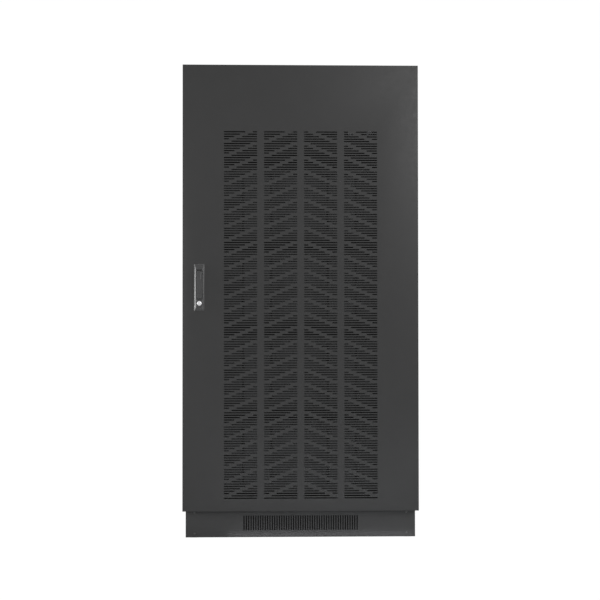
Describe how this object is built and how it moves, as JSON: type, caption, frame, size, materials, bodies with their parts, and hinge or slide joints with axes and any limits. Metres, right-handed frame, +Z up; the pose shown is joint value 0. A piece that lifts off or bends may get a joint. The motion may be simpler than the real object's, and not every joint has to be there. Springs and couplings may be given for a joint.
{
  "type": "battery cabinet",
  "caption": "Floor-standing steel battery cabinet with a slotted ventilated door, swing handle lock, vented plinth, levelling feet, battery tiers and a breaker bay.",
  "frame": {"origin": "on the floor, under the middle of the bounding box, swing lever included", "axes": "+X to the right seen from the front, -Y out of the door, +Z up"},
  "size_m": [0.95, 0.85, 1.905],
  "materials": {
    "powder_black": "fine black powder coat, satin",
    "zinc_steel": "zinc plated",
    "battery_case": "moulded, fine grain",
    "battery_lid": "moulded, fine grain",
    "lead_terminal": "dull lead alloy",
    "copper_bar": "rolled copper",
    "strap_sleeve": "insulating sleeve",
    "breaker_case": "moulded, matte",
    "toggle_plastic": "moulded, semi-gloss",
    "seal_rubber": "cellular rubber strip",
    "handle_cast": "die-cast, black powder coat",
    "lock_chrome": "bright chrome",
    "guide_nylon": "moulded nylon"
  },
  "bodies": {
    "cabinet": {"frame_posts": "powder_black", "base_rails": "powder_black", "top_rails": "powder_black", "plinth_rails": "powder_black", "corner_legs": "powder_black", "tray_rails": "zinc_steel", "floor_panel": "powder_black", "top_panel": "powder_black", "gland_plate": "zinc_steel", "rear_panel": "powder_black", "side_panel_left": "powder_black", "side_panel_right": "powder_black", "plinth_front": "powder_black", "plinth_rear": "powder_black", "plinth_sides": "powder_black", "plinth_screws": "zinc_steel", "battery_tray_1": "powder_black", "battery_tray_2": "powder_black", "battery_tray_3": "powder_black", "battery_tray_4": "powder_black", "battery_cases_1": "battery_case", "battery_cases_2": "battery_case", "battery_cases_3": "battery_case", "battery_cases_4": "battery_case", "battery_lids": "battery_lid", "battery_terminals": "lead_terminal", "battery_links": "copper_bar", "retaining_bars": "powder_black", "battery_straps": "strap_sleeve", "equipment_shelf": "powder_black", "equipment_plate": "powder_black", "breaker_body": "breaker_case", "output_terminals": "breaker_case", "earth_bar": "copper_bar", "hinge_lugs": "zinc_steel", "keepers": "zinc_steel", "levelling_feet": "zinc_steel"},
    "door": {"door_skin": "powder_black", "door_frame": "powder_black", "door_stiffeners": "powder_black", "door_gasket": "seal_rubber", "hinge_eyes": "zinc_steel", "handle_housing": "handle_cast", "rod_guides": "guide_nylon"},
    "handle": {"handle_spindle": "zinc_steel", "lock_cam": "zinc_steel"},
    "lever": {"handle_lever": "handle_cast"},
    "lock_plug": {"lock_cylinder": "lock_chrome"},
    "upper_rod": {"lock_rod_upper": "zinc_steel"},
    "lower_rod": {"lock_rod_lower": "zinc_steel"},
    "toggle": {"breaker_toggle": "toggle_plastic"}
  },
  "joints": [
    {"name": "door_hinge", "type": "hinge", "parent": "cabinet", "child": "door", "pos_m": [0.465, -0.39, 1], "axis": [0, 0, 1], "range_deg": [0, 110]},
    {"name": "handle_turn", "type": "hinge", "parent": "door", "child": "handle", "pos_m": [-0.4074, -0.395, 1.065], "axis": [0, -1, 0], "range_deg": [0, 90]},
    {"name": "lever_lift", "type": "hinge", "parent": "handle", "child": "lever", "pos_m": [-0.4074, -0.4194, 1.065], "axis": [-1, 0, 0], "range_deg": [0, 35]},
    {"name": "lock_turn", "type": "hinge", "parent": "door", "child": "lock_plug", "pos_m": [-0.4074, -0.4, 0.942], "axis": [0, -1, 0], "range_deg": [0, 90]},
    {"name": "upper_rod_slide", "type": "slide", "parent": "door", "child": "upper_rod", "axis": [0, 0, 1], "range_m": [-0.0156, 0]},
    {"name": "lower_rod_slide", "type": "slide", "parent": "door", "child": "lower_rod", "axis": [0, 0, 1], "range_m": [0, 0.0156]},
    {"name": "breaker_throw", "type": "hinge", "parent": "cabinet", "child": "toggle", "pos_m": [0, -0.252, 1.7265], "axis": [1, 0, 0], "range_deg": [0, 50]}
  ],
  "couplings": [
    {"joint": "upper_rod_slide", "follows": "handle_turn", "m_per_rad": -0.0099035},
    {"joint": "lower_rod_slide", "follows": "handle_turn", "m_per_rad": 0.0099035}
  ]
}
